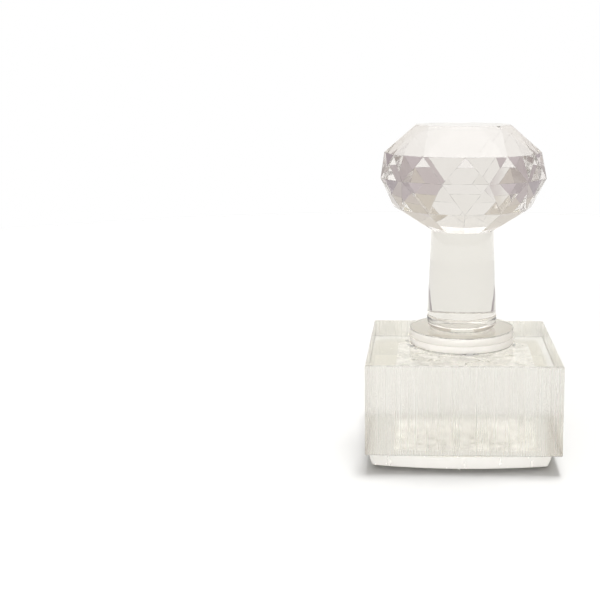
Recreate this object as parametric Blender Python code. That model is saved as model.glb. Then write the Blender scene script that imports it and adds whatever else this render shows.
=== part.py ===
"""Clear acrylic hand stamp with a faceted knob.

From the floor up it is an engraved die plate, a bonding film, a square block, a clear foam
pad, a foot flange, a collar, a tapered stem and a faceted knob. The stem's lower spigot
passes through the collar into the flange, and its upper spigot fits a socket in the knob.

Units are metres and +Z is up. The origin is on the floor, under the centre of the block.
"""

import math

import bmesh
import bpy
from mathutils import Matrix, Vector

# Faces that are glued or seated keep this gap.
JOINT_GAP = 0.0003

# Die plate: a cushion shape with drafted sides, and a relief standing out below it. Its
# corner is given at the lower face, and each pair of sides bows out by the middle of a side.
# It is glued on a little to the left of the block's centre.
RELIEF_DEPTH = 0.0010
DIE_THICKNESS = 0.0021
DIE_CORNER = Vector((0.0182, 0.0172))
DIE_BOW_LEFT_RIGHT = 0.0003
DIE_BOW_FRONT_BACK = 0.0019
DIE_CORNER_RADIUS = 0.0008
DIE_TOP_SCALE = 1.043
DIE_OFFSET = Vector((-0.0006, 0.0))

# Bonding film between the die plate and the block.
FILM_SIDE = 0.0300
FILM_THICKNESS = 0.0003
FILM_OFFSET = Vector((0.0008, 0.0))

# Block.
BLOCK_SIDE = 0.0400
BLOCK_HEIGHT = 0.0188
BLOCK_EDGE_BEVEL = 0.00025

# Foam pad under the foot flange. Its rim is slightly uneven where it was squeezed, and
# each wave round the rim is (count, depth, phase).
PAD_RADIUS = 0.0113
PAD_THICKNESS = 0.0012
PAD_RIM_WAVES = ((5, 0.00012, 0.4), (9, 0.00008, 1.9), (17, 0.00005, 4.0))

# Foot flange and collar.
FLANGE_RADIUS = 0.0113
FLANGE_THICKNESS = 0.0014
FLANGE_EDGE_BEVEL = 0.0003
COLLAR_RADIUS = 0.00755
COLLAR_FOOT_RADIUS = 0.0062
COLLAR_HEIGHT = 0.0027
COLLAR_ROUNDING_HEIGHT = 0.0016
COLLAR_EDGE_BEVEL = 0.0002

# Stem and its two spigots.
STEM_RADIUS_BOTTOM = 0.0075
STEM_RADIUS_TOP = 0.0067
STEM_LENGTH = 0.0180
STEM_EDGE_BEVEL = 0.0002
SPIGOT_RADIUS = 0.0031
SPIGOT_EDGE_BEVEL = 0.0004
UPPER_SPIGOT_LENGTH = 0.0047

# Knob: five rings of twelve corners, each (radius, height above the knob's base, turned).
# A turned ring has its corners half a step round from those of a ring that isn't turned.
KNOB_SIDES = 12
KNOB_RINGS = (
    (0.0070, 0.0000, False),
    (0.0148, 0.0049, False),
    (0.0180, 0.0114, True),
    (0.0168, 0.0166, False),
    (0.0104, 0.0225, True),
)

# Relief motif: a sun with wavy flames, a ring inside it, and a crescent and stars in the ring.
RING_RADIUS = 0.0069
RING_WIDTH = 0.0007
CORONA_INNER_RADIUS = 0.0077
CORONA_OUTER_RADIUS = 0.0098
FLAME_PAIRS = 12
FLAME_STEPS = 7
LONG_FLAME = {"length": 0.0075, "half_width": 0.00095, "sway": 0.00075}
SHORT_FLAME = {"length": 0.0038, "half_width": 0.00070, "sway": -0.00045}
CRESCENT_RADIUS = 0.0058
CRESCENT_SHIFT = 0.0042
CRESCENT_STEPS = 14
# How far the moon is turned from having its open side towards +X.
CRESCENT_ANGLE = math.radians(-45)
# Each star is (x, y, reach of its points). Between points its edge dips to this share of it.
STARS = ((0.0016, -0.0016, 0.0028), (0.0047, 0.0010, 0.0010), (-0.0010, -0.0047, 0.0010))
STAR_WAIST = 0.28
STAR_STEPS = 16

# How finely round and bowed edges are divided.
ROUND_STEPS = 64
CIRCLE_STEPS = 48
SIDE_ARC_STEPS = 8
ROUNDING_STEPS = 6

# Heights of the stack above the floor.
DIE_BOTTOM = RELIEF_DEPTH
FILM_BOTTOM = DIE_BOTTOM + DIE_THICKNESS + JOINT_GAP
BLOCK_BOTTOM = FILM_BOTTOM + FILM_THICKNESS + JOINT_GAP
PAD_BOTTOM = BLOCK_BOTTOM + BLOCK_HEIGHT + JOINT_GAP
FLANGE_BOTTOM = PAD_BOTTOM + PAD_THICKNESS + JOINT_GAP
COLLAR_BOTTOM = FLANGE_BOTTOM + FLANGE_THICKNESS + JOINT_GAP
STEM_BOTTOM = COLLAR_BOTTOM + COLLAR_HEIGHT + JOINT_GAP
KNOB_BOTTOM = STEM_BOTTOM + STEM_LENGTH + JOINT_GAP

# Holes round the spigots.
BORE_RADIUS = SPIGOT_RADIUS + JOINT_GAP


def clear_scene():
    for obj in list(bpy.data.objects):
        bpy.data.objects.remove(obj)


def acrylic(name, colour, roughness):
    """A clear material that lets light through, tinted by colour."""
    material = bpy.data.materials.new(name)
    material.use_nodes = True
    shader = material.node_tree.nodes["Principled BSDF"]
    shader.inputs["Base Color"].default_value = (*colour, 1)
    shader.inputs["Roughness"].default_value = roughness
    shader.inputs["Metallic"].default_value = 0
    shader.inputs["IOR"].default_value = 1.49
    shader.inputs["Transmission Weight"].default_value = 1
    return material


def place(bm, name, material, height, offset=(0, 0)):
    """Turns a bmesh into an object standing at this height, with its normals facing out."""
    bmesh.ops.recalc_face_normals(bm, faces=bm.faces)
    mesh = bpy.data.meshes.new(name)
    bm.to_mesh(mesh)
    bm.free()
    mesh.materials.append(material)
    obj = bpy.data.objects.new(name, mesh)
    obj.location = (*offset, height)
    bpy.context.scene.collection.objects.link(obj)
    return obj


def shade_round(obj):
    obj.data.shade_smooth()
    obj.data.set_sharp_from_angle(angle=math.radians(30))


def add_edge_bevel(obj, width):
    bevel = obj.modifiers.new("edge_bevel", "BEVEL")
    bevel.width = width
    bevel.segments = 2
    bevel.limit_method = "ANGLE"


def add_boolean(obj, operation, helper):
    """Cuts or joins the helper's shape, and keeps the helper as a hidden wireframe."""
    boolean = obj.modifiers.new(operation.lower(), "BOOLEAN")
    boolean.operation = operation
    boolean.object = helper
    helper.hide_render = True
    helper.display_type = "WIRE"


def turn_profile(profile):
    """A solid of revolution about Z, from a closed loop of (radius, height) points."""
    bm = bmesh.new()
    points = [bm.verts.new((radius, 0, height)) for radius, height in profile]
    edges = []
    for start, end in zip(points, points[1:] + points[:1]):
        # An edge along the axis would sweep no face.
        if start.co.x > 0 or end.co.x > 0:
            edges.append(bm.edges.new((start, end)))
    geometry = points + edges
    bmesh.ops.spin(bm, geom=geometry, axis=(0, 0, 1), angle=math.tau, steps=ROUND_STEPS, use_merge=True)
    bmesh.ops.remove_doubles(bm, verts=bm.verts, dist=1e-6)
    return bm


def extrude_outline(outline, bottom, top, top_scale=1.0):
    """A solid between two heights, from an outline of (x, y) points that is scaled at the top."""
    bm = bmesh.new()
    lower = [bm.verts.new((x, y, bottom)) for x, y in outline]
    upper = [bm.verts.new((x * top_scale, y * top_scale, top)) for x, y in outline]
    bm.faces.new(lower[::-1])
    bm.faces.new(upper)
    count = len(outline)
    for i in range(count):
        j = (i + 1) % count
        bm.faces.new((lower[i], lower[j], upper[j], upper[i]))
    return bm


def polar(radius, angle):
    return (radius * math.cos(angle), radius * math.sin(angle))


def circle_outline(radius):
    return [polar(radius, math.tau * i / CIRCLE_STEPS) for i in range(CIRCLE_STEPS)]


def square_outline(side):
    half = side / 2
    return [(half, -half), (half, half), (-half, half), (-half, -half)]


def bowed_side(start, end, bow):
    """Points along an arc from start up to, but not including, end. It bows out to the right."""
    chord = end - start
    outward = Vector((chord.y, -chord.x)).normalized()
    radius = ((chord.length / 2) ** 2 + bow**2) / (2 * bow)
    centre = (start + end) / 2 - outward * (radius - bow)
    reach = math.asin(chord.length / 2 / radius)
    points = []
    for i in range(SIDE_ARC_STEPS):
        turn = Matrix.Rotation(reach * (2 * i / SIDE_ARC_STEPS - 1), 2)
        points.append(tuple(centre + turn @ outward * radius))
    return points


def cushion_outline(corner, bow_left_right, bow_front_back):
    """A rectangle whose sides bow out as arcs, anticlockwise from its front left corner."""
    corners = [Vector((sx * corner.x, sy * corner.y)) for sx, sy in ((-1, -1), (1, -1), (1, 1), (-1, 1))]
    bows = (bow_front_back, bow_left_right, bow_front_back, bow_left_right)
    points = []
    for side in range(4):
        points += bowed_side(corners[side], corners[(side + 1) % 4], bows[side])
    return points


def flame_side(angle, flame, side):
    """One edge of a flame, from the corona towards its tip, as (x, y) points."""
    outward = Vector(polar(1, angle))
    across = Vector((-outward.y, outward.x))
    points = []
    for i in range(FLAME_STEPS):
        share = i / FLAME_STEPS
        along = CORONA_OUTER_RADIUS + share * flame["length"]
        sway = flame["sway"] * math.sin(math.tau * share)
        width = flame["half_width"] * (1 - share) ** 0.8
        points.append(tuple(outward * along + across * (sway + side * width)))
    return points


def flame_outline(angle, flame):
    """A flame's whole edge, anticlockwise round the sun: up one side and down the other."""
    tip = polar(CORONA_OUTER_RADIUS + flame["length"], angle)
    return [*flame_side(angle, flame, -1), tip, *reversed(flame_side(angle, flame, 1))]


def corona_outline():
    """The sun's outer edge, with a long and a short flame in turn."""
    step = math.tau / FLAME_PAIRS
    points = []
    for pair in range(FLAME_PAIRS):
        points += flame_outline(pair * step, LONG_FLAME)
        points += flame_outline((pair + 0.5) * step, SHORT_FLAME)
    return points


def crescent_outline():
    """A circle with an equal circle, shifted sideways, bitten out of it."""
    # Both circles pass through the two horns, and this is the horns' angle from the centre line.
    horn = math.acos(CRESCENT_SHIFT / 2 / CRESCENT_RADIUS)
    points = []
    for i in range(CRESCENT_STEPS + 1):
        points.append(polar(CRESCENT_RADIUS, horn + (math.tau - 2 * horn) * i / CRESCENT_STEPS))
    for i in range(1, CRESCENT_STEPS):
        x, y = polar(CRESCENT_RADIUS, math.pi + horn * (1 - 2 * i / CRESCENT_STEPS))
        points.append((x + CRESCENT_SHIFT, y))
    turn = Matrix.Rotation(CRESCENT_ANGLE, 2)
    return [tuple(turn @ Vector(point)) for point in points]


def star_outline(x, y, reach):
    """A four-pointed star with curved-in sides."""
    points = []
    for i in range(STAR_STEPS):
        angle = math.tau * i / STAR_STEPS
        pull = math.cos(2 * angle) ** 4
        dx, dy = polar(reach * (STAR_WAIST + (1 - STAR_WAIST) * pull), angle)
        points.append((x + dx, y + dy))
    return points


def build_knob(material):
    """The cut knob. Triangles join a ring to one turned from it, and quads to one that isn't."""
    bm = bmesh.new()
    step = math.tau / KNOB_SIDES
    rings = []
    for radius, height, turned in KNOB_RINGS:
        start = step / 2 if turned else 0
        corners = [polar(radius, start + i * step) for i in range(KNOB_SIDES)]
        rings.append(([bm.verts.new((x, y, height)) for x, y in corners], turned))
    for (lower, lower_turned), (upper, upper_turned) in zip(rings, rings[1:]):
        for i in range(KNOB_SIDES):
            j = (i + 1) % KNOB_SIDES
            if lower_turned == upper_turned:
                bm.faces.new((lower[i], lower[j], upper[j], upper[i]))
            elif upper_turned:
                bm.faces.new((lower[i], lower[j], upper[i]))
                bm.faces.new((lower[j], upper[j], upper[i]))
            else:
                bm.faces.new((lower[i], upper[j], upper[i]))
                bm.faces.new((lower[i], lower[j], upper[j]))
    bm.faces.new(rings[0][0][::-1])
    bm.faces.new(rings[-1][0])
    knob = place(bm, "faceted_knob", material, KNOB_BOTTOM)

    overrun = 0.002
    socket = extrude_outline(circle_outline(BORE_RADIUS), -overrun, UPPER_SPIGOT_LENGTH)
    add_boolean(knob, "DIFFERENCE", place(socket, "knob_socket_cutter", material, KNOB_BOTTOM))


def build_stem(material):
    """The tapered post, with a spigot at each end. Heights are from the post's lower shoulder."""
    lower_end = FLANGE_BOTTOM + JOINT_GAP - STEM_BOTTOM
    # The socket's roof is one more gap above the upper spigot.
    upper_end = STEM_LENGTH + UPPER_SPIGOT_LENGTH
    chamfer = SPIGOT_EDGE_BEVEL
    edge = STEM_EDGE_BEVEL
    profile = (
        (0, lower_end),
        (SPIGOT_RADIUS - chamfer, lower_end),
        (SPIGOT_RADIUS, lower_end + chamfer),
        (SPIGOT_RADIUS, 0),
        (STEM_RADIUS_BOTTOM - edge, 0),
        (STEM_RADIUS_BOTTOM, edge),
        (STEM_RADIUS_TOP, STEM_LENGTH - edge),
        (STEM_RADIUS_TOP - edge, STEM_LENGTH),
        (SPIGOT_RADIUS, STEM_LENGTH),
        (SPIGOT_RADIUS, upper_end - chamfer),
        (SPIGOT_RADIUS - chamfer, upper_end),
        (0, upper_end),
    )
    shade_round(place(turn_profile(profile), "stem", material, STEM_BOTTOM))


def build_collar(material):
    """The ring under the stem, whose lower edge is rounded in towards the flange."""
    edge = COLLAR_EDGE_BEVEL
    rounding = []
    for i in range(ROUNDING_STEPS + 1):
        angle = math.pi / 2 * i / ROUNDING_STEPS
        radius = COLLAR_FOOT_RADIUS + (COLLAR_RADIUS - COLLAR_FOOT_RADIUS) * math.sin(angle)
        rounding.append((radius, COLLAR_ROUNDING_HEIGHT * (1 - math.cos(angle))))
    profile = (
        (BORE_RADIUS, 0),
        *rounding,
        (COLLAR_RADIUS, COLLAR_HEIGHT - edge),
        (COLLAR_RADIUS - edge, COLLAR_HEIGHT),
        (BORE_RADIUS, COLLAR_HEIGHT),
    )
    shade_round(place(turn_profile(profile), "collar", material, COLLAR_BOTTOM))


def build_flange(material):
    """The foot disc, bored for the stem's lower spigot."""
    edge = FLANGE_EDGE_BEVEL
    profile = (
        (BORE_RADIUS, 0),
        (FLANGE_RADIUS - edge, 0),
        (FLANGE_RADIUS, edge),
        (FLANGE_RADIUS, FLANGE_THICKNESS - edge),
        (FLANGE_RADIUS - edge, FLANGE_THICKNESS),
        (BORE_RADIUS, FLANGE_THICKNESS),
    )
    shade_round(place(turn_profile(profile), "foot_flange", material, FLANGE_BOTTOM))


def build_pad(material):
    """The clear foam pad that holds the handle to the block."""
    outline = []
    for i in range(ROUND_STEPS):
        angle = math.tau * i / ROUND_STEPS
        waves = sum(depth * math.sin(count * angle + phase) for count, depth, phase in PAD_RIM_WAVES)
        outline.append(polar(PAD_RADIUS + waves, angle))
    shade_round(place(extrude_outline(outline, 0, PAD_THICKNESS), "foot_pad", material, PAD_BOTTOM))


def build_block(material):
    bm = extrude_outline(square_outline(BLOCK_SIDE), 0, BLOCK_HEIGHT)
    add_edge_bevel(place(bm, "stamp_block", material, BLOCK_BOTTOM), BLOCK_EDGE_BEVEL)


def build_film(material):
    bm = extrude_outline(square_outline(FILM_SIDE), 0, FILM_THICKNESS)
    place(bm, "bonding_film", material, FILM_BOTTOM, FILM_OFFSET)


def build_relief_helper(material):
    """The motif as one solid, filled between nested outlines. It reaches a little into the plate."""
    reach_into_plate = 0.0006
    outlines = [
        corona_outline(),
        circle_outline(CORONA_INNER_RADIUS),
        circle_outline(RING_RADIUS + RING_WIDTH / 2),
        circle_outline(RING_RADIUS - RING_WIDTH / 2),
        crescent_outline(),
    ]
    outlines += [star_outline(*star) for star in STARS]
    curve = bpy.data.curves.new("relief_lines", "CURVE")
    curve.dimensions = "2D"
    curve.fill_mode = "BOTH"
    curve.extrude = (RELIEF_DEPTH + reach_into_plate) / 2
    for outline in outlines:
        spline = curve.splines.new("POLY")
        spline.points.add(len(outline) - 1)
        for point, (x, y) in zip(spline.points, outline):
            point.co = (x, y, 0, 1)
        spline.use_cyclic_u = True
    lines = bpy.data.objects.new("relief_lines", curve)
    bm = bmesh.new()
    bm.from_mesh(bpy.data.meshes.new_from_object(lines))
    bpy.data.objects.remove(lines)
    bmesh.ops.remove_doubles(bm, verts=bm.verts, dist=1e-6)
    middle = (reach_into_plate - RELIEF_DEPTH) / 2
    bmesh.ops.translate(bm, verts=bm.verts, vec=(0, 0, middle))
    return place(bm, "relief_helper", material, DIE_BOTTOM, DIE_OFFSET)


def build_die(material):
    """The cushion-shaped plate, joined to its relief."""
    outline = cushion_outline(DIE_CORNER, DIE_BOW_LEFT_RIGHT, DIE_BOW_FRONT_BACK)
    bm = extrude_outline(outline, 0, DIE_THICKNESS, DIE_TOP_SCALE)
    corners = []
    for edge in bm.edges:
        lower, upper = sorted((vert.co for vert in edge.verts), key=lambda place: place.z)
        rises = upper.z - lower.z > DIE_THICKNESS / 2
        beside_corner = abs(abs(lower.x) - DIE_CORNER.x) < 1e-5 and abs(abs(lower.y) - DIE_CORNER.y) < 1e-5
        if rises and beside_corner:
            corners.append(edge)
    bmesh.ops.bevel(bm, geom=corners, offset=DIE_CORNER_RADIUS, segments=4, profile=0.5, affect="EDGES")
    die = place(bm, "die_plate", material, DIE_BOTTOM, DIE_OFFSET)
    add_boolean(die, "UNION", build_relief_helper(material))


def build_stamp():
    knob_acrylic = acrylic("knob_acrylic", (0.90, 0.87, 0.91), 0.03)
    clear_acrylic = acrylic("clear_acrylic", (0.94, 0.93, 0.90), 0.03)
    sawn_acrylic = acrylic("sawn_acrylic", (0.93, 0.92, 0.88), 0.12)
    clear_adhesive = acrylic("clear_adhesive", (0.95, 0.95, 0.94), 0.20)

    build_die(clear_acrylic)
    build_film(clear_adhesive)
    build_block(sawn_acrylic)
    build_pad(clear_adhesive)
    build_flange(clear_acrylic)
    build_collar(clear_acrylic)
    build_stem(clear_acrylic)
    build_knob(knob_acrylic)


clear_scene()
build_stamp()
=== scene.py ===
"""Looks for the clear acrylic hand stamp: a faceted knob on a tapered stem and foot, stuck to a
square block with an engraved die plate underneath. Units are metres and +Z is up."""

import math
import random

import bmesh
import bpy
from mathutils import Matrix, Vector, noise


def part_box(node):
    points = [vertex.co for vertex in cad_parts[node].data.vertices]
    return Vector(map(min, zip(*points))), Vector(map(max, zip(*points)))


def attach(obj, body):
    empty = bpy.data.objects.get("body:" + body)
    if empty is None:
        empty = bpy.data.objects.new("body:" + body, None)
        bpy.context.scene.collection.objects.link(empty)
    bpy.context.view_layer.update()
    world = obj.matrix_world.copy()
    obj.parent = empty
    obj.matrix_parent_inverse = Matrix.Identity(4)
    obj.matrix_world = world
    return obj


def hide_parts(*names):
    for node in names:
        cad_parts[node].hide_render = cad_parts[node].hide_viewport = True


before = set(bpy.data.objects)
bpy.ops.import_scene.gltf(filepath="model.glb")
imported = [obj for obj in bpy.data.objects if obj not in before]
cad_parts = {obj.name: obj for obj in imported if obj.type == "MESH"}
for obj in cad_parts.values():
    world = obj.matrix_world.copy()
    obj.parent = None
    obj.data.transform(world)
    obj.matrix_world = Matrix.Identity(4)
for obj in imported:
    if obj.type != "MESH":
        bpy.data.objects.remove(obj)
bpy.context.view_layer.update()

# Optics shared by every acrylic piece.
ACRYLIC_IOR = 1.49
# Glued pieces overlap by this much, so that light passes straight through the joint.
WELD = 0.00001

# Where things are, from the frame.
_, DIE_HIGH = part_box("die_plate")
FILM_LOW, FILM_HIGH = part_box("bonding_film")
BLOCK_LOW, BLOCK_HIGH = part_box("stamp_block")
_, PAD_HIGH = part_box("foot_pad")
_, FLANGE_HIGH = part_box("foot_flange")
_, COLLAR_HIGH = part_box("collar")
KNOB_LOW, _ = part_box("faceted_knob")

# Heights of the joints as seen. The CAD leaves gaps there, and these pieces reach across them.
DIE_TOP = BLOCK_LOW.z - 0.00022
PAD_BOTTOM = BLOCK_HIGH.z - WELD
PAD_TOP = PAD_HIGH.z + 0.00010
FLANGE_TOP = FLANGE_HIGH.z + 0.00020
COLLAR_BOTTOM = FLANGE_TOP - WELD
COLLAR_TOP = COLLAR_HIGH.z + 0.00012
STEM_BOTTOM = COLLAR_TOP - WELD
STEM_TOP = KNOB_LOW.z + WELD

# Knob: rings of corners, each (radius, height above the knob's base, turned by half a step).
KNOB_SIDES = 12
KNOB_RINGS = (
    (0.0070, 0.0000, False),
    (0.0148, 0.0049, False),
    (0.0180, 0.0114, True),
    (0.0168, 0.0166, False),
    (0.0104, 0.0225, True),
)
KNOB_EDGE = 0.00014

BLOCK_EDGE = 0.00018
SAW_COLUMNS = 150
SAW_JITTER = 0.000006
SAW_WAVES = 0.000012
RELIEF_HEIGHT = 0.0010

# The foot: radii of the round pieces, and of the faces that are hidden in their joints.
STEM_RADIUS_BOTTOM = 0.0075
STEM_RADIUS_TOP = 0.0067
STEM_JOINT_RADIUS = 0.00727
COLLAR_FOOT_RADIUS = 0.0062
STEM_EDGE = 0.00016
COLLAR_ROUNDING = 0.0017
COLLAR_LINE = 0.00035
FLANGE_EDGE = 0.0002
FLANGE_LINE = 0.0005
PAD_JOINT_RADIUS = 0.0110
PAD_RIM_RADIUS = 0.01115
ROUND_STEPS = 128

# The larger drops of adhesive round the pad, each (angle, distance from the axis, size). The
# smaller ones are drawn at random between these limits.
LARGE_DROPS = ((-1.45, 0.01165, 0.00085), (-1.60, 0.01185, 0.00060), (-2.75, 0.01170, 0.00065))
SMALL_DROPS = 15
SMALL_DROP_DISTANCE = (0.0114, 0.0119)
SMALL_DROP_SIZE = (0.00022, 0.0005)

# Points and heights nearer than this are the same.
SAME = 1e-7
# How far to reach past a height, or in from a radius, to take in the faces that end there.
REACH_HEIGHT = 1e-5
REACH_RADIUS = 0.0001

# The room that the acrylic refracts, as colours of light. The edges are in the coordinates of a
# direction of length 1, and a pair is where one colour ends and where the next is full.
CAMERA_END = (0.42, 0.41, 0.39)
WALL_NEAR_LOW = (0.62, 0.56, 0.58)
WALL_NEAR_HIGH = (0.67, 0.62, 0.54)
WALL_SIDE_LOW = (0.36, 0.31, 0.34)
WALL_SIDE_HIGH = (0.48, 0.43, 0.39)
WALL_FOOT = (0.88, 0.87, 0.84)
BACKDROP_LOW = (0.95, 0.94, 0.91)
BACKDROP_MID = (0.90, 0.89, 0.85)
BACKDROP_HIGH = (0.98, 0.97, 0.94)
BACKDROP_MIDDLE = 0.015
BACKDROP_SIDES = (0.215, 0.215 + 0.02)
BACKDROP_FRONT = (0.0, 0.1)
BACKDROP_LOW_TO_MID = (0.04, 0.20)
BACKDROP_MID_TO_HIGH = (0.26, 0.45)
WALL_LOW_TO_HIGH = (0.0, 0.25)
WALL_NEAR_TO_SIDE = (0.40, 0.75)
WALL_FOOT_HEIGHT = (0.05, 0.07)
WALL_FOOT_SIDES = (0.76, 0.86)
CAMERA_END_TO_WALLS = (-1.0, 0.1)
CEILING = (1.52, 1.51, 1.47)
CEILING_EDGE = (0.67, 0.67 + 0.12)
ZENITH = (2.3, 2.29, 2.24)
ZENITH_EDGE = (0.86, 0.86 + 0.08)
WHITE = (1.0, 1.0, 1.0)

FLOOR_RADIUS = 0.4
FLOOR_TONE = 0.375
FLOOR_DROP = 0.00002

# Lights: the direction they come from, their width in degrees, and their strength.
OVERHEAD = ((0.06, 0.06, 1.0), 14, 4.75)
FRONT_FILL = ((-0.2, -1.0, 0.6), 40, 1.3)
DIE_FILL = ((0.0, -0.7, 0.7), 40, 0.74)
FILM_FILL = ((0.0, -0.7, 0.7), 40, 1.9)

CAMERA_PLACE = (-0.00743, -0.22146, 0.07935)
CAMERA_YAW = 1.442
CAMERA_PITCH = -8.431
CAMERA_LENS = 62.23
CAMERA_SENSOR = 36
CAMERA_SHIFT = (-0.17, -0.11)


# ---------------------------------------------------------------- mesh helpers


def piece_from(bm, name, materials, node):
    """Turns a bmesh into a piece that rides on the stamp, and stands for its CAD node if it has one."""
    bmesh.ops.recalc_face_normals(bm, faces=bm.faces)
    mesh = bpy.data.meshes.new(name)
    bm.to_mesh(mesh)
    bm.free()
    for material in materials:
        mesh.materials.append(material)
    obj = bpy.data.objects.new(name, mesh)
    bpy.context.scene.collection.objects.link(obj)
    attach(obj, "root")
    if node:
        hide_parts(node)
    return obj


def shade_round(obj, degrees=30):
    """Smooth shading, apart from the edges that are sharper than this angle."""
    obj.data.shade_smooth()
    obj.data.set_sharp_from_angle(angle=math.radians(degrees))


def bevel_edges(obj, width, segments, material_index, degrees=12):
    """Rounds the edges that are sharper than this angle, in a material of their own."""
    bevel = obj.modifiers.new("edge_rounding", "BEVEL")
    bevel.material = material_index
    bevel.width = width
    bevel.segments = segments
    bevel.limit_method = "ANGLE"
    bevel.angle_limit = math.radians(degrees)
    bevel.harden_normals = True


def polar(radius, angle):
    return (radius * math.cos(angle), radius * math.sin(angle))


def turn_profile(profile):
    """A solid of revolution about Z, from a closed loop of (radius, height) points."""
    bm = bmesh.new()
    points = [bm.verts.new((radius, 0, height)) for radius, height in profile]
    edges = []
    for start, end in zip(points, points[1:] + points[:1]):
        if start.co.x > 0 or end.co.x > 0:
            edges.append(bm.edges.new((start, end)))
    turn = {"axis": (0, 0, 1), "angle": math.tau, "steps": ROUND_STEPS, "use_merge": True}
    bmesh.ops.spin(bm, geom=points + edges, **turn)
    bmesh.ops.remove_doubles(bm, verts=bm.verts, dist=SAME)
    return bm


def extrude_outline(outline, bottom, top):
    """A solid between two heights, from an outline of (x, y) points."""
    bm = bmesh.new()
    lower = [bm.verts.new((x, y, bottom)) for x, y in outline]
    upper = [bm.verts.new((x, y, top)) for x, y in outline]
    bm.faces.new(lower[::-1])
    bm.faces.new(upper)
    count = len(outline)
    for i in range(count):
        j = (i + 1) % count
        bm.faces.new((lower[i], lower[j], upper[j], upper[i]))
    return bm


def cap_with_window(bm, loop, window, height, material_index):
    """Fills a flat loop, leaving the window's outline as faces of their own material."""
    inner = [bm.verts.new((x, y, height)) for x, y in window]
    edges = []
    for ring in (loop, inner):
        for start, end in zip(ring, ring[1:] + ring[:1]):
            edges.append(bm.edges.get((start, end)) or bm.edges.new((start, end)))
    bmesh.ops.triangle_fill(bm, use_beauty=True, edges=edges)
    face = bm.faces.get(inner) or bm.faces.new(inner)
    face.material_index = material_index


def mark_disc(bm, height, radius, material_index):
    """Gives the faces of a flat disc about the axis their own material."""
    for face in bm.faces:
        level = all(abs(vert.co.z - height) < SAME for vert in face.verts)
        if level and all(vert.co.xy.length < radius + SAME for vert in face.verts):
            face.material_index = material_index


def mark_band(bm, low, high, material_index, least_radius):
    """Gives the faces between two heights, outside a radius, their own material."""
    for face in bm.faces:
        heights = [vert.co.z for vert in face.verts]
        outside = all(vert.co.xy.length > least_radius for vert in face.verts)
        if min(heights) > low - SAME and max(heights) < high + SAME and outside:
            face.material_index = material_index


def rounded(corner_radius, corner_height, width, rise, steps=5):
    """Points of a quarter round from (r - width, h) to (r, h + rise). A rise may be negative."""
    points = []
    for i in range(steps + 1):
        angle = math.pi / 2 * i / steps
        radius = corner_radius - width + width * math.sin(angle)
        points.append((radius, corner_height + rise * (1 - math.cos(angle))))
    return points


# ---------------------------------------------------------------- materials


def node_material(name):
    material = bpy.data.materials.new(name)
    material.use_nodes = True
    tree = material.node_tree
    return material, tree, tree.nodes["Principled BSDF"]


def add_noise(tree, scale, detail, stretch=(1, 1, 1), roughness=0.5):
    """A noise texture in the object's own space, in cycles per metre, squeezed by stretch."""
    coordinates = tree.nodes.new("ShaderNodeTexCoord")
    mapping = tree.nodes.new("ShaderNodeMapping")
    mapping.inputs["Scale"].default_value = stretch
    texture = tree.nodes.new("ShaderNodeTexNoise")
    texture.inputs["Scale"].default_value = scale
    texture.inputs["Detail"].default_value = detail
    texture.inputs["Roughness"].default_value = roughness
    tree.links.new(coordinates.outputs["Object"], mapping.inputs["Vector"])
    tree.links.new(mapping.outputs["Vector"], texture.inputs["Vector"])
    return texture.outputs["Fac"]


def add_range(tree, value, from_low, from_high, to_low, to_high):
    remap = tree.nodes.new("ShaderNodeMapRange")
    remap.inputs["From Min"].default_value = from_low
    remap.inputs["From Max"].default_value = from_high
    remap.inputs["To Min"].default_value = to_low
    remap.inputs["To Max"].default_value = to_high
    tree.links.new(value, remap.inputs["Value"])
    return remap.outputs["Result"]


def add_math(tree, operation, value, number=0.0):
    math_node = tree.nodes.new("ShaderNodeMath")
    math_node.operation = operation
    tree.links.new(value, math_node.inputs[0])
    math_node.inputs[1].default_value = number
    return math_node.outputs[0]


def add_mix(tree, value, low, high, below, above):
    """Colour below where the value is under low, above where it is over high."""
    mix = tree.nodes.new("ShaderNodeMix")
    mix.data_type = "RGBA"
    colours = [socket for socket in mix.inputs if socket.type == "RGBA"]
    factor = next(s for s in mix.inputs if s.name == "Factor" and s.type == "VALUE")
    tree.links.new(add_range(tree, value, low, high, 0, 1), factor)
    for socket, colour in zip(colours, (below, above)):
        if isinstance(colour, tuple):
            socket.default_value = (*colour, 1)
        else:
            tree.links.new(colour, socket)
    return next(socket for socket in mix.outputs if socket.type == "RGBA")


def add_bump(tree, shader, height, strength, distance):
    bump = tree.nodes.new("ShaderNodeBump")
    bump.inputs["Strength"].default_value = strength
    bump.inputs["Distance"].default_value = distance
    tree.links.new(height, bump.inputs["Height"])
    tree.links.new(bump.outputs["Normal"], shader.inputs["Normal"])


def vary_roughness(tree, shader, value, from_low, from_high, to_low, to_high):
    roughness = add_range(tree, value, from_low, from_high, to_low, to_high)
    tree.links.new(roughness, shader.inputs["Roughness"])


def vary_colour(tree, shader, value, low, high, below, above):
    tree.links.new(add_mix(tree, value, low, high, below, above), shader.inputs["Base Color"])


def make_clear(shader, colour):
    shader.inputs["Base Color"].default_value = (*colour, 1)
    shader.inputs["IOR"].default_value = ACRYLIC_IOR
    shader.inputs["Transmission Weight"].default_value = 1
    shader.inputs["Metallic"].default_value = 0


def moulded_acrylic(name, colour, waviness):
    """Clear moulded acrylic: nearly smooth, with the slight waviness that sinking leaves."""
    material, tree, shader = node_material(name)
    make_clear(shader, colour)
    grain = add_noise(tree, 900, 3)
    vary_roughness(tree, shader, grain, 0.35, 0.75, 0.0, 0.05)
    add_bump(tree, shader, add_noise(tree, 220, 2), waviness, 0.0002)
    return material


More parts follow.
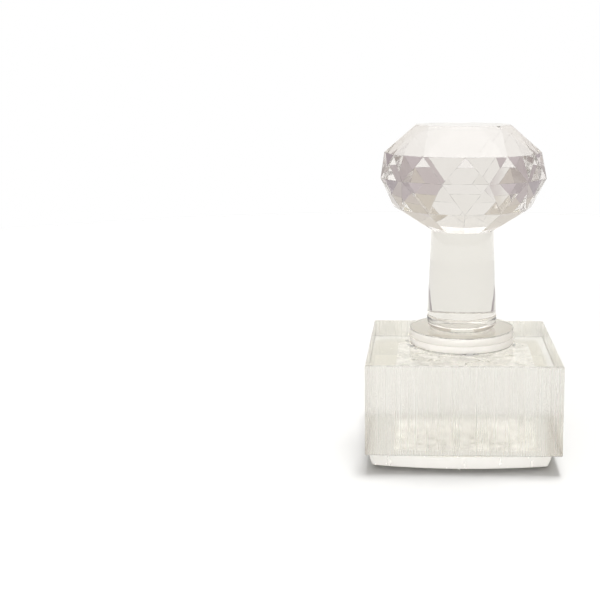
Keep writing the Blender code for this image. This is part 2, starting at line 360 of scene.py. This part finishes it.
def worn_edges_with_painted_shade():
    """The edges of the knob and of the block's top, dulled by handling. Their colour is also darkened
    in patches as painted shade, standing in for the dark lines that these edges show.
    """
    material, tree, shader = node_material("worn_edges_with_painted_shade")
    make_clear(shader, (0.7, 0.68, 0.66))
    wear = add_noise(tree, 700, 3)
    # Painted shade: the darker patches draw dark lines along the edges, as well as wear.
    vary_colour(tree, shader, wear, 0.4, 0.6, (0.45, 0.43, 0.42), (0.84, 0.82, 0.80))
    vary_roughness(tree, shader, wear, 0.35, 0.7, 0.05, 0.30)
    return material


def joint_acrylic():
    """A face inside a solvent or film joint, where the two pieces are one clear solid."""
    material, tree, shader = node_material("welded_joint")
    make_clear(shader, (1, 1, 1))
    shader.inputs["Alpha"].default_value = 0
    return material


def sawn_acrylic():
    """The block's sides: fine vertical saw lines that blur what is behind them sideways."""
    material, tree, shader = node_material("sawn_sides")
    make_clear(shader, (0.93, 0.91, 0.87))
    fine = add_noise(tree, 2600, 4, (1, 1, 0.012), 0.65)
    broad = add_noise(tree, 900, 3, (1, 1, 0.05), 0.6)
    vary_colour(tree, shader, broad, 0.35, 0.62, (0.78, 0.765, 0.715), (0.84, 0.825, 0.785))
    vary_roughness(tree, shader, fine, 0.3, 0.7, 0.18, 0.32)
    add_bump(tree, shader, fine, 0.20, 0.00006)
    return material


def polished_acrylic():
    """The block's top and bottom, still as smooth as the sheet it was cut from."""
    material, tree, shader = node_material("polished_faces")
    make_clear(shader, (0.935, 0.925, 0.875))
    scuffs = add_noise(tree, 1500, 5, (1, 0.25, 1))
    vary_roughness(tree, shader, scuffs, 0.45, 0.8, 0.0, 0.06)
    return material


def engraved_acrylic():
    """The laser-cut floor between the relief's lines: frosted white."""
    material, tree, shader = node_material("engraved_frost")
    make_clear(shader, (0.98, 0.975, 0.95))
    shader.inputs["Transmission Weight"].default_value = 0.30
    frost = add_noise(tree, 4200, 4)
    vary_roughness(tree, shader, frost, 0.3, 0.7, 0.25, 0.45)
    add_bump(tree, shader, frost, 0.3, 0.00004)
    return material


def relief_acrylic():
    """The relief's faces, scuffed by use."""
    material, tree, shader = node_material("relief_faces")
    make_clear(shader, (0.98, 0.975, 0.95))
    shader.inputs["Transmission Weight"].default_value = 0.55
    scuffs = add_noise(tree, 1800, 4, (1, 0.3, 1))
    vary_roughness(tree, shader, scuffs, 0.35, 0.75, 0.12, 0.3)
    return material


def cut_acrylic():
    """The rims of the die and of the foot's disc, left matt by the cutter."""
    material, tree, shader = node_material("cut_rim")
    make_clear(shader, (0.96, 0.95, 0.93))
    shader.inputs["Transmission Weight"].default_value = 0.35
    marks = add_noise(tree, 700, 3, (1, 1, 0.02), 0.6)
    vary_roughness(tree, shader, marks, 0.3, 0.7, 0.12, 0.3)
    add_bump(tree, shader, marks, 0.15, 0.00004)
    return material


def joint_line_with_painted_shade():
    """Edges at the joints: a thin line of old adhesive and dirt, darkened further as painted shade for
    the contact shadow that falls in the joint.
    """
    material, tree, shader = node_material("joint_line_with_painted_shade")
    make_clear(shader, (0.5, 0.49, 0.47))
    shader.inputs["Transmission Weight"].default_value = 0.5
    dirt = add_noise(tree, 500, 4, roughness=0.6)
    # Painted shade: the dark patches stand in for the shadow in the joint, as well as adhesive and
    # dirt.
    vary_colour(tree, shader, dirt, 0.38, 0.62, (0.22, 0.21, 0.20), (0.78, 0.77, 0.75))
    vary_roughness(tree, shader, dirt, 0.3, 0.7, 0.35, 0.2)
    return material


def foam_adhesive(name, colour, ior, transmission):
    """Clear foam adhesive: cloudy, with fine bubbles."""
    material, tree, shader = node_material(name)
    make_clear(shader, colour)
    shader.inputs["IOR"].default_value = ior
    shader.inputs["Transmission Weight"].default_value = transmission
    cells = add_noise(tree, 3200, 5, (1, 1, 1.6), 0.7)
    vary_roughness(tree, shader, cells, 0.3, 0.75, 0.25, 0.5)
    add_bump(tree, shader, cells, 0.25, 0.00005)
    return material


def clouded_joint():
    """The film's upper face, where it has clouded in patches. The rest of it is clear."""
    material, tree, shader = node_material("clouded_joint")
    shader.inputs["Base Color"].default_value = (0.975, 0.975, 0.97, 1)
    shader.inputs["Roughness"].default_value = 0.5
    shader.inputs["Specular IOR Level"].default_value = 0
    patches = add_noise(tree, 420, 5, (1, 1, 1), 0.65)
    tree.links.new(add_range(tree, patches, 0.37, 0.63, 0.12, 0.56), shader.inputs["Alpha"])
    return material


def film_adhesive():
    """The bonding film: clear, with faint ripples."""
    material, tree, shader = node_material("clear_bonding_film")
    make_clear(shader, (0.99, 0.985, 0.975))
    ripples = add_noise(tree, 700, 3)
    vary_roughness(tree, shader, ripples, 0.4, 0.8, 0.0, 0.05)
    return material


# ---------------------------------------------------------------- pieces


def make_knob(material, joint, worn_shaded_edge_material):
    """The knob: rings of corners with triangles or flats between them, and narrow worn edges with
    painted shade.
    """
    bm = bmesh.new()
    step = math.tau / KNOB_SIDES
    rings = []
    for radius, height, turned in KNOB_RINGS:
        start = step / 2 if turned else 0
        corners = [polar(radius, start + i * step) for i in range(KNOB_SIDES)]
        rings.append(([bm.verts.new((x, y, KNOB_LOW.z + height)) for x, y in corners], turned))
    for (lower, lower_turned), (upper, upper_turned) in zip(rings, rings[1:]):
        for i in range(KNOB_SIDES):
            j = (i + 1) % KNOB_SIDES
            if lower_turned == upper_turned:
                bm.faces.new((lower[i], lower[j], upper[j], upper[i]))
            elif upper_turned:
                bm.faces.new((lower[i], lower[j], upper[i]))
                bm.faces.new((lower[j], upper[j], upper[i]))
            else:
                bm.faces.new((lower[i], upper[j], upper[i]))
                bm.faces.new((lower[i], lower[j], upper[j]))
    window = [polar(STEM_RADIUS_TOP, math.tau * i / ROUND_STEPS) for i in range(ROUND_STEPS)]
    cap_with_window(bm, rings[0][0], window, KNOB_LOW.z, 1)
    bm.faces.new(rings[-1][0])
    materials = [material, joint, worn_shaded_edge_material]
    knob = piece_from(bm, "knob", materials, "faceted_knob")
    bevel_edges(knob, KNOB_EDGE, segments=2, material_index=2)


def make_stem(material, joint, dirt_and_shade_line):
    """The stem, with a thin dark line of adhesive and painted shade where its foot is rounded into the
    joint.
    """
    edge = STEM_EDGE
    profile = [(0, STEM_BOTTOM), (STEM_JOINT_RADIUS, STEM_BOTTOM)]
    profile += rounded(STEM_RADIUS_BOTTOM, STEM_BOTTOM, edge, edge, 3)
    profile += [(STEM_RADIUS_TOP, STEM_TOP), (0, STEM_TOP)]
    bm = turn_profile(profile)
    mark_disc(bm, STEM_TOP, STEM_RADIUS_TOP, 1)
    mark_disc(bm, STEM_BOTTOM, STEM_JOINT_RADIUS, 1)
    mark_band(bm, STEM_BOTTOM, STEM_BOTTOM + edge, 2, STEM_JOINT_RADIUS - REACH_RADIUS)
    stem = piece_from(bm, "stem_post", [material, joint, dirt_and_shade_line], "stem")
    shade_round(stem)


def make_collar(material, joint, dirt_and_shade_line):
    """The collar: rounded in underneath, with a thin dark line at its foot, adhesive and a painted
    contact shadow.
    """
    edge = COLLAR_HIGH.x - STEM_JOINT_RADIUS
    under = COLLAR_HIGH.x - COLLAR_FOOT_RADIUS
    profile = [(0, COLLAR_BOTTOM)]
    profile += rounded(COLLAR_HIGH.x, COLLAR_BOTTOM, under, COLLAR_ROUNDING, 10)
    profile += reversed(rounded(COLLAR_HIGH.x, COLLAR_TOP, edge, -edge))
    profile += [(0, COLLAR_TOP)]
    bm = turn_profile(profile)
    mark_disc(bm, COLLAR_TOP, STEM_JOINT_RADIUS, 1)
    mark_disc(bm, COLLAR_BOTTOM, COLLAR_FOOT_RADIUS, 1)
    mark_band(bm, COLLAR_BOTTOM, COLLAR_BOTTOM + COLLAR_LINE, 2, COLLAR_FOOT_RADIUS - REACH_RADIUS)
    collar = piece_from(bm, "collar_ring", [material, joint, dirt_and_shade_line], "collar")
    shade_round(collar)


def make_flange(material, joint, rim_material, dirt_and_shade_line):
    """The foot's disc: a matt rim, and a thin dark line of adhesive and painted shade along its upper
    edge.
    """
    edge = FLANGE_EDGE
    bottom = PAD_TOP - WELD
    profile = [(0, bottom)]
    profile += rounded(FLANGE_HIGH.x, bottom, edge, edge, 3)
    profile += reversed(rounded(FLANGE_HIGH.x, FLANGE_TOP, edge, -edge, 3))
    profile += [(COLLAR_FOOT_RADIUS, FLANGE_TOP), (0, FLANGE_TOP)]
    bm = turn_profile(profile)
    mark_disc(bm, FLANGE_TOP, COLLAR_FOOT_RADIUS, 1)
    mark_band(bm, bottom, FLANGE_TOP, 2, FLANGE_HIGH.x - REACH_RADIUS)
    mark_band(bm, FLANGE_TOP - edge, FLANGE_TOP, 3, FLANGE_HIGH.x - FLANGE_LINE)
    mark_disc(bm, bottom, FLANGE_HIGH.x - edge, 1)
    materials = [material, joint, rim_material, dirt_and_shade_line]
    flange = piece_from(bm, "foot_disc", materials, "foot_flange")
    shade_round(flange)


def make_pad(material, face_material, dirt_and_shade_line):
    """The pad's rim wanders in and out, bulges where it was squeezed, and is darkened at its foot by
    dirt and painted shade.
    """
    steps = 180
    levels = 8
    bm = bmesh.new()
    loops = []
    for level in range(levels + 1):
        share = level / levels
        height = PAD_BOTTOM + share * (PAD_TOP - PAD_BOTTOM)
        loop = []
        for i in range(steps):
            angle = math.tau * i / steps
            place = Vector((*polar(1.0, angle), 0))
            wander = 0.00014 * noise.noise(place * 3.1)
            ripple = 0.00008 * noise.noise(place * 11 + Vector((0, 0, 3 * share)))
            bulge = 0.00010 * math.sin(math.pi * share)
            radius = PAD_RIM_RADIUS + (wander + ripple) + bulge
            loop.append(bm.verts.new((*polar(radius, angle), height)))
        loops.append(loop)
    for lower, upper in zip(loops, loops[1:]):
        for i in range(steps):
            j = (i + 1) % steps
            side = bm.faces.new((lower[i], lower[j], upper[j], upper[i]))
            side.material_index = 2 if lower is loops[0] else 0
    bm.faces.new(loops[0][::-1]).material_index = 1
    bm.faces.new(loops[-1]).material_index = 1
    materials = [material, face_material, dirt_and_shade_line]
    pad = piece_from(bm, "adhesive_pad", materials, "foot_pad")
    shade_round(pad)


def make_squeeze_out(material):
    """Small drops of adhesive pressed out round the pad, each a flat dome of its own shape."""
    dice = random.Random(11)
    bm = bmesh.new()
    drops = list(LARGE_DROPS)
    for _ in range(SMALL_DROPS):
        angle = dice.uniform(-math.pi, math.pi)
        drops.append((angle, dice.uniform(*SMALL_DROP_DISTANCE), dice.uniform(*SMALL_DROP_SIZE)))
    for angle, distance, size in drops:
        middle = Vector((*polar(distance, angle), BLOCK_HIGH.z))
        dome = bmesh.ops.create_icosphere(bm, subdivisions=3, radius=1)["verts"]
        for vert in dome:
            lumpy = 1 + 0.35 * noise.noise(vert.co * 1.7 + Vector((angle * 9, 0, 0)))
            flat = Vector((vert.co.x * size * lumpy * 0.7, vert.co.y * size * lumpy))
            flat.rotate(Matrix.Rotation(angle, 2))
            vert.co = middle + Vector((flat.x, flat.y, 0.3 * max(vert.co.z, 0) * size))
    shade_round(piece_from(bm, "squeezed_adhesive", [material], None))


def sawn_side(start, end, inward, side):
    """Points along one side of the block, each set in by the depth of its saw line."""
    jitter = [random.random() for _ in range(SAW_COLUMNS)]
    points = []
    for i in range(SAW_COLUMNS):
        waves = 0.5 + 0.5 * noise.noise(Vector((i * 0.13, side * 5.0, 0)))
        depth = 0 if i == 0 else SAW_JITTER * jitter[i] + SAW_WAVES * waves
        points.append(tuple(start.lerp(end, i / SAW_COLUMNS) + inward * depth))
    return points


def film_outline():
    low, high = FILM_LOW, FILM_HIGH
    return [(low.x, low.y), (high.x, low.y), (high.x, high.y), (low.x, high.y)]


def make_block(side_material, face_material, joint, worn_shaded_edge_material, dirt_and_shade_line):
    """The block: sawn sides, polished top and bottom, and clear windows where it is glued."""
    random.seed(7)
    half = BLOCK_HIGH.x
    corners = [Vector(c) for c in ((-half, -half), (half, -half), (half, half), (-half, half))]
    inwards = [Vector(c) for c in ((0, 1), (-1, 0), (0, -1), (1, 0))]
    outline = []
    for side in range(4):
        outline += sawn_side(corners[side], corners[(side + 1) % 4], inwards[side], side)
    bm = bmesh.new()
    inset = 1 - BLOCK_EDGE / half
    levels = (
        (BLOCK_LOW.z, inset),
        (BLOCK_LOW.z + BLOCK_EDGE, 1),
        (BLOCK_HIGH.z - BLOCK_EDGE, 1),
        (BLOCK_HIGH.z, inset),
    )
    rings = [[bm.verts.new((x * size, y * size, z)) for x, y in outline] for z, size in levels]
    # From the bottom: the edge darkened by dirt and painted shade, the sawn side, and the worn edge
    # with painted shade.
    for lower, upper, material_index in zip(rings, rings[1:], (4, 0, 3)):
        for i in range(len(outline)):
            j = (i + 1) % len(outline)
            side = bm.faces.new((lower[i], lower[j], upper[j], upper[i]))
            side.material_index = material_index
    cap_with_window(bm, rings[0], film_outline(), BLOCK_LOW.z, 2)
    pad_window = [polar(PAD_JOINT_RADIUS, math.tau * i / ROUND_STEPS) for i in range(ROUND_STEPS)]
    cap_with_window(bm, rings[-1], pad_window, BLOCK_HIGH.z, 2)
    for face in bm.faces:
        face.normal_update()
        if abs(face.normal.z) > 0.5 and face.material_index == 0:
            face.material_index = 1
    materials = [side_material, face_material, joint, worn_shaded_edge_material, dirt_and_shade_line]
    piece_from(bm, "block", materials, "stamp_block")


def make_film(material, joint, clouded):
    """The film between block and die: clear below, and clouded on its upper face."""
    bm = extrude_outline(film_outline(), DIE_TOP - WELD, BLOCK_LOW.z + WELD)
    for face in bm.faces:
        face.normal_update()
        face.material_index = 1 if face.normal.z < -0.5 else 2 if face.normal.z > 0.5 else 0
    materials = [material, joint, clouded]
    return piece_from(bm, "die_film", materials, "bonding_film")


def rim_of(faces):
    """The corners around a patch of faces, in order."""
    inside = set(faces)
    onward = {}
    for face in faces:
        for corner in face.loops:
            if not any(other in inside for other in corner.edge.link_faces if other is not face):
                onward[corner.vert] = corner.link_loop_next.vert
    rim = [next(iter(onward))]
    while onward[rim[-1]] is not rim[0]:
        rim.append(onward[rim[-1]])
    return rim


def make_die(clear_material, frost_material, joint, rim_material):
    """The plate and its relief, from a copy of the CAD shape whose top reaches up to the film."""
    bm = bmesh.new()
    bm.from_mesh(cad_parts["die_plate"].data)
    bmesh.ops.remove_doubles(bm, verts=bm.verts, dist=SAME)
    top_verts = [vert for vert in bm.verts if vert.co.z > DIE_HIGH.z - REACH_HEIGHT]
    for vert in top_verts:
        vert.co.z = DIE_TOP
    tops = [face for face in bm.faces if all(vert in top_verts for vert in face.verts)]
    loop = rim_of(tops)
    bmesh.ops.delete(bm, geom=tops, context="FACES_KEEP_BOUNDARY")
    cap_with_window(bm, loop, film_outline(), DIE_TOP, 2)
    for face in bm.faces:
        if face.material_index == 2:
            continue
        face.normal_update()
        heights = [vert.co.z for vert in face.verts]
        in_relief = max(heights) < RELIEF_HEIGHT + REACH_HEIGHT
        recessed = face.normal.z < -0.5 and min(heights) > RELIEF_HEIGHT / 2
        inner_wall = abs(face.normal.z) < 0.3 and in_relief
        outer_wall = abs(face.normal.z) < 0.6 and not in_relief
        face.material_index = 3 if outer_wall else 1 if recessed or inner_wall else 0
    materials = [clear_material, frost_material, joint, rim_material]
    return piece_from(bm, "engraved_die", materials, "die_plate")


# ---------------------------------------------------------------- studio


def make_floor():
    bm = bmesh.new()
    bm.faces.new([bm.verts.new((*polar(FLOOR_RADIUS, math.tau * i / 96), 0)) for i in range(96)])
    mesh = bpy.data.meshes.new("floor")
    bm.to_mesh(mesh)
    bm.free()
    material, tree, shader = node_material("pale_floor")
    shader.inputs["Base Color"].default_value = (FLOOR_TONE, FLOOR_TONE, FLOOR_TONE, 1)
    shader.inputs["Roughness"].default_value = 0.7
    mesh.materials.append(material)
    floor = bpy.data.objects.new("floor", mesh)
    floor.location.z = -FLOOR_DROP
    bpy.context.scene.collection.objects.link(floor)
    return floor


def make_world():
    """A studio room for the acrylic to refract. The camera sees plain white in its place."""
    world = bpy.data.worlds.new("studio")
    bpy.context.scene.world = world
    world.use_nodes = True
    tree = world.node_tree
    background = tree.nodes["Background"]
    coordinates = tree.nodes.new("ShaderNodeTexCoord")
    split = tree.nodes.new("ShaderNodeSeparateXYZ")
    tree.links.new(coordinates.outputs["Generated"], split.inputs["Vector"])

    forward, height = split.outputs["Y"], split.outputs["Z"]
    off_middle = add_math(tree, "SUBTRACT", split.outputs["X"], BACKDROP_MIDDLE)
    sideways = add_math(tree, "ABSOLUTE", off_middle)
    from_level = add_math(tree, "ABSOLUTE", height)

    # Walls: from the camera's end round to the far side, with a pale foot at either side.
    near = add_mix(tree, height, *WALL_LOW_TO_HIGH, WALL_NEAR_LOW, WALL_NEAR_HIGH)
    far_side = add_mix(tree, height, *WALL_LOW_TO_HIGH, WALL_SIDE_LOW, WALL_SIDE_HIGH)
    footed = add_mix(tree, from_level, *WALL_FOOT_HEIGHT, WALL_FOOT, far_side)
    partway = add_mix(tree, sideways, *WALL_NEAR_TO_SIDE, near, far_side)
    sides = add_mix(tree, sideways, *WALL_FOOT_SIDES, partway, footed)
    walls = add_mix(tree, forward, *CAMERA_END_TO_WALLS, CAMERA_END, sides)

    # A strip of backdrop behind the stamp, and the ceiling.
    lower = add_mix(tree, height, *BACKDROP_LOW_TO_MID, BACKDROP_LOW, BACKDROP_MID)
    backdrop = add_mix(tree, height, *BACKDROP_MID_TO_HIGH, lower, BACKDROP_HIGH)
    strip = add_mix(tree, sideways, *BACKDROP_SIDES, backdrop, walls)
    backed = add_mix(tree, forward, *BACKDROP_FRONT, walls, strip)
    roofed = add_mix(tree, height, *CEILING_EDGE, backed, CEILING)
    room = add_mix(tree, height, *ZENITH_EDGE, roofed, ZENITH)

    path = tree.nodes.new("ShaderNodeLightPath")
    seen = add_mix(tree, path.outputs["Is Camera Ray"], 0, 1, room, WHITE)
    tree.links.new(seen, background.inputs["Color"])
    background.inputs["Strength"].default_value = 1.0


def add_soft_sun(name, direction, width_degrees, strength):
    """A broad, distant light that comes from this direction, and that leaves no glints."""
    data = bpy.data.lights.new(name, "SUN")
    data.angle = math.radians(width_degrees)
    data.energy = strength
    light = bpy.data.objects.new(name, data)
    light.rotation_euler = Vector(direction).to_track_quat("Z", "Y").to_euler()
    light.visible_glossy = False
    light.visible_transmission = False
    bpy.context.scene.collection.objects.link(light)
    return light


def shine_through(light, piece, floor):
    """Lets a light reach one frosted piece through the clear ones. Only the floor blocks it."""
    reached = bpy.data.collections.new("reached_by_" + light.name)
    reached.objects.link(piece)
    blocking = bpy.data.collections.new("blocking_" + light.name)
    blocking.objects.link(floor)
    light.light_linking.receiver_collection = reached
    light.light_linking.blocker_collection = blocking


def make_camera():
    data = bpy.data.cameras.new("camera")
    data.lens = CAMERA_LENS
    data.sensor_width = CAMERA_SENSOR
    data.shift_x, data.shift_y = CAMERA_SHIFT
    data.clip_start = 0.01
    camera = bpy.data.objects.new("camera", data)
    camera.location = CAMERA_PLACE
    pitch = math.pi / 2 + math.radians(CAMERA_PITCH)
    camera.rotation_euler = (pitch, 0, math.radians(CAMERA_YAW))
    bpy.context.scene.collection.objects.link(camera)
    bpy.context.scene.camera = camera


# ---------------------------------------------------------------- build

knob_acrylic = moulded_acrylic("knob_acrylic_look", (0.85, 0.825, 0.805), 0.05)
clear_acrylic = moulded_acrylic("clear_acrylic_look", (0.83, 0.81, 0.76), 0.08)
sawn = sawn_acrylic()
polished = polished_acrylic()
joint = joint_acrylic()
worn_shaded_edges = worn_edges_with_painted_shade()
dirt_and_shade_line = joint_line_with_painted_shade()
cut_rim = cut_acrylic()
stem_acrylic = moulded_acrylic("stem_acrylic_look", (0.78, 0.765, 0.722), 0.08)
collar_acrylic = moulded_acrylic("collar_acrylic_look", (0.87, 0.85, 0.80), 0.08)
pad_rim = foam_adhesive("pad_rim", (0.98, 0.97, 0.95), 1.45, 0.12)
pad_faces = foam_adhesive("pad_faces", (0.93, 0.92, 0.90), 1.12, 0.30)
drops = foam_adhesive("adhesive_drops", (0.985, 0.98, 0.965), 1.4, 0.55)

make_camera()
make_knob(knob_acrylic, joint, worn_shaded_edges)
make_stem(stem_acrylic, joint, dirt_and_shade_line)
make_collar(collar_acrylic, joint, dirt_and_shade_line)
make_flange(clear_acrylic, joint, cut_rim, dirt_and_shade_line)
make_pad(pad_rim, pad_faces, dirt_and_shade_line)
make_squeeze_out(drops)
make_block(sawn, polished, joint, worn_shaded_edges, dirt_and_shade_line)
film = make_film(film_adhesive(), joint, clouded_joint())
die = make_die(relief_acrylic(), engraved_acrylic(), joint, cut_rim)

floor = make_floor()
make_world()
add_soft_sun("overhead", *OVERHEAD)
add_soft_sun("front_fill", *FRONT_FILL)
shine_through(add_soft_sun("die_fill", *DIE_FILL), die, floor)
shine_through(add_soft_sun("film_fill", *FILM_FILL), film, floor)

scene = bpy.context.scene
scene.view_settings.view_transform = "Standard"
scene.cycles.max_bounces = 32
scene.cycles.transmission_bounces = 32
scene.cycles.glossy_bounces = 32
scene.cycles.diffuse_bounces = 6
scene.cycles.blur_glossy = 0.0
scene.cycles.transparent_max_bounces = 64
